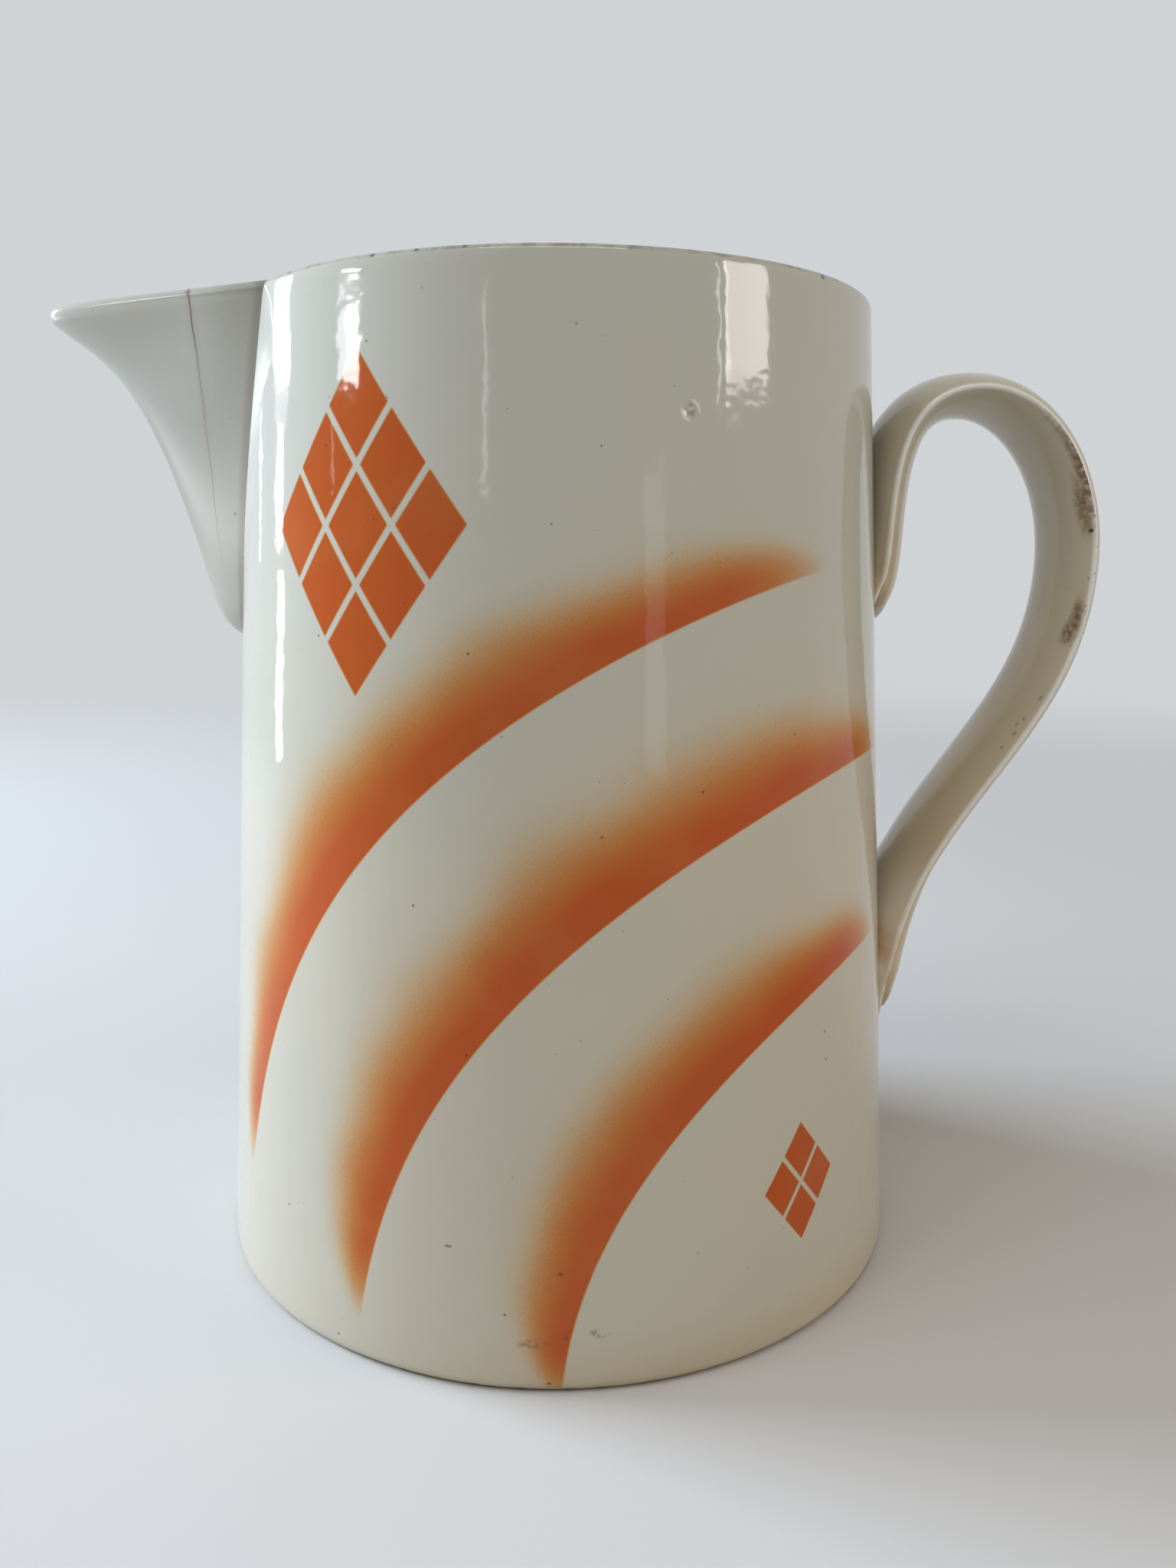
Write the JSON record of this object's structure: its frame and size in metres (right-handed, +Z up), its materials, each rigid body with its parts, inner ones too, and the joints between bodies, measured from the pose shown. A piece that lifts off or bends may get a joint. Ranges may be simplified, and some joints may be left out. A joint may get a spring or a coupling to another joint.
{
  "type": "earthenware coffee jug",
  "caption": "Straight-sided glazed earthenware coffee jug, open at the top, with a luted beak spout and a looped strap handle.",
  "frame": {"origin": "on the body's axis at the flat underside", "axes": "+Z up along the body's axis, +X towards the handle, -X towards the spout"},
  "size_m": [0.2308, 0.1558, 0.206],
  "materials": {
    "glaze_body": "glossy cream glaze with sprayed burnt-orange decoration",
    "glaze_floor": "glossy cream glaze inside, bare dry clay underneath",
    "glaze_spout": "glossy cream glaze",
    "glaze_handle": "glossy cream glaze, browned where the crackle has stained"
  },
  "bodies": {
    "root": {"body_wall": "glaze_body", "base_disc": "glaze_floor", "spout": "glaze_spout", "handle": "glaze_handle"}
  },
  "joints": []
}
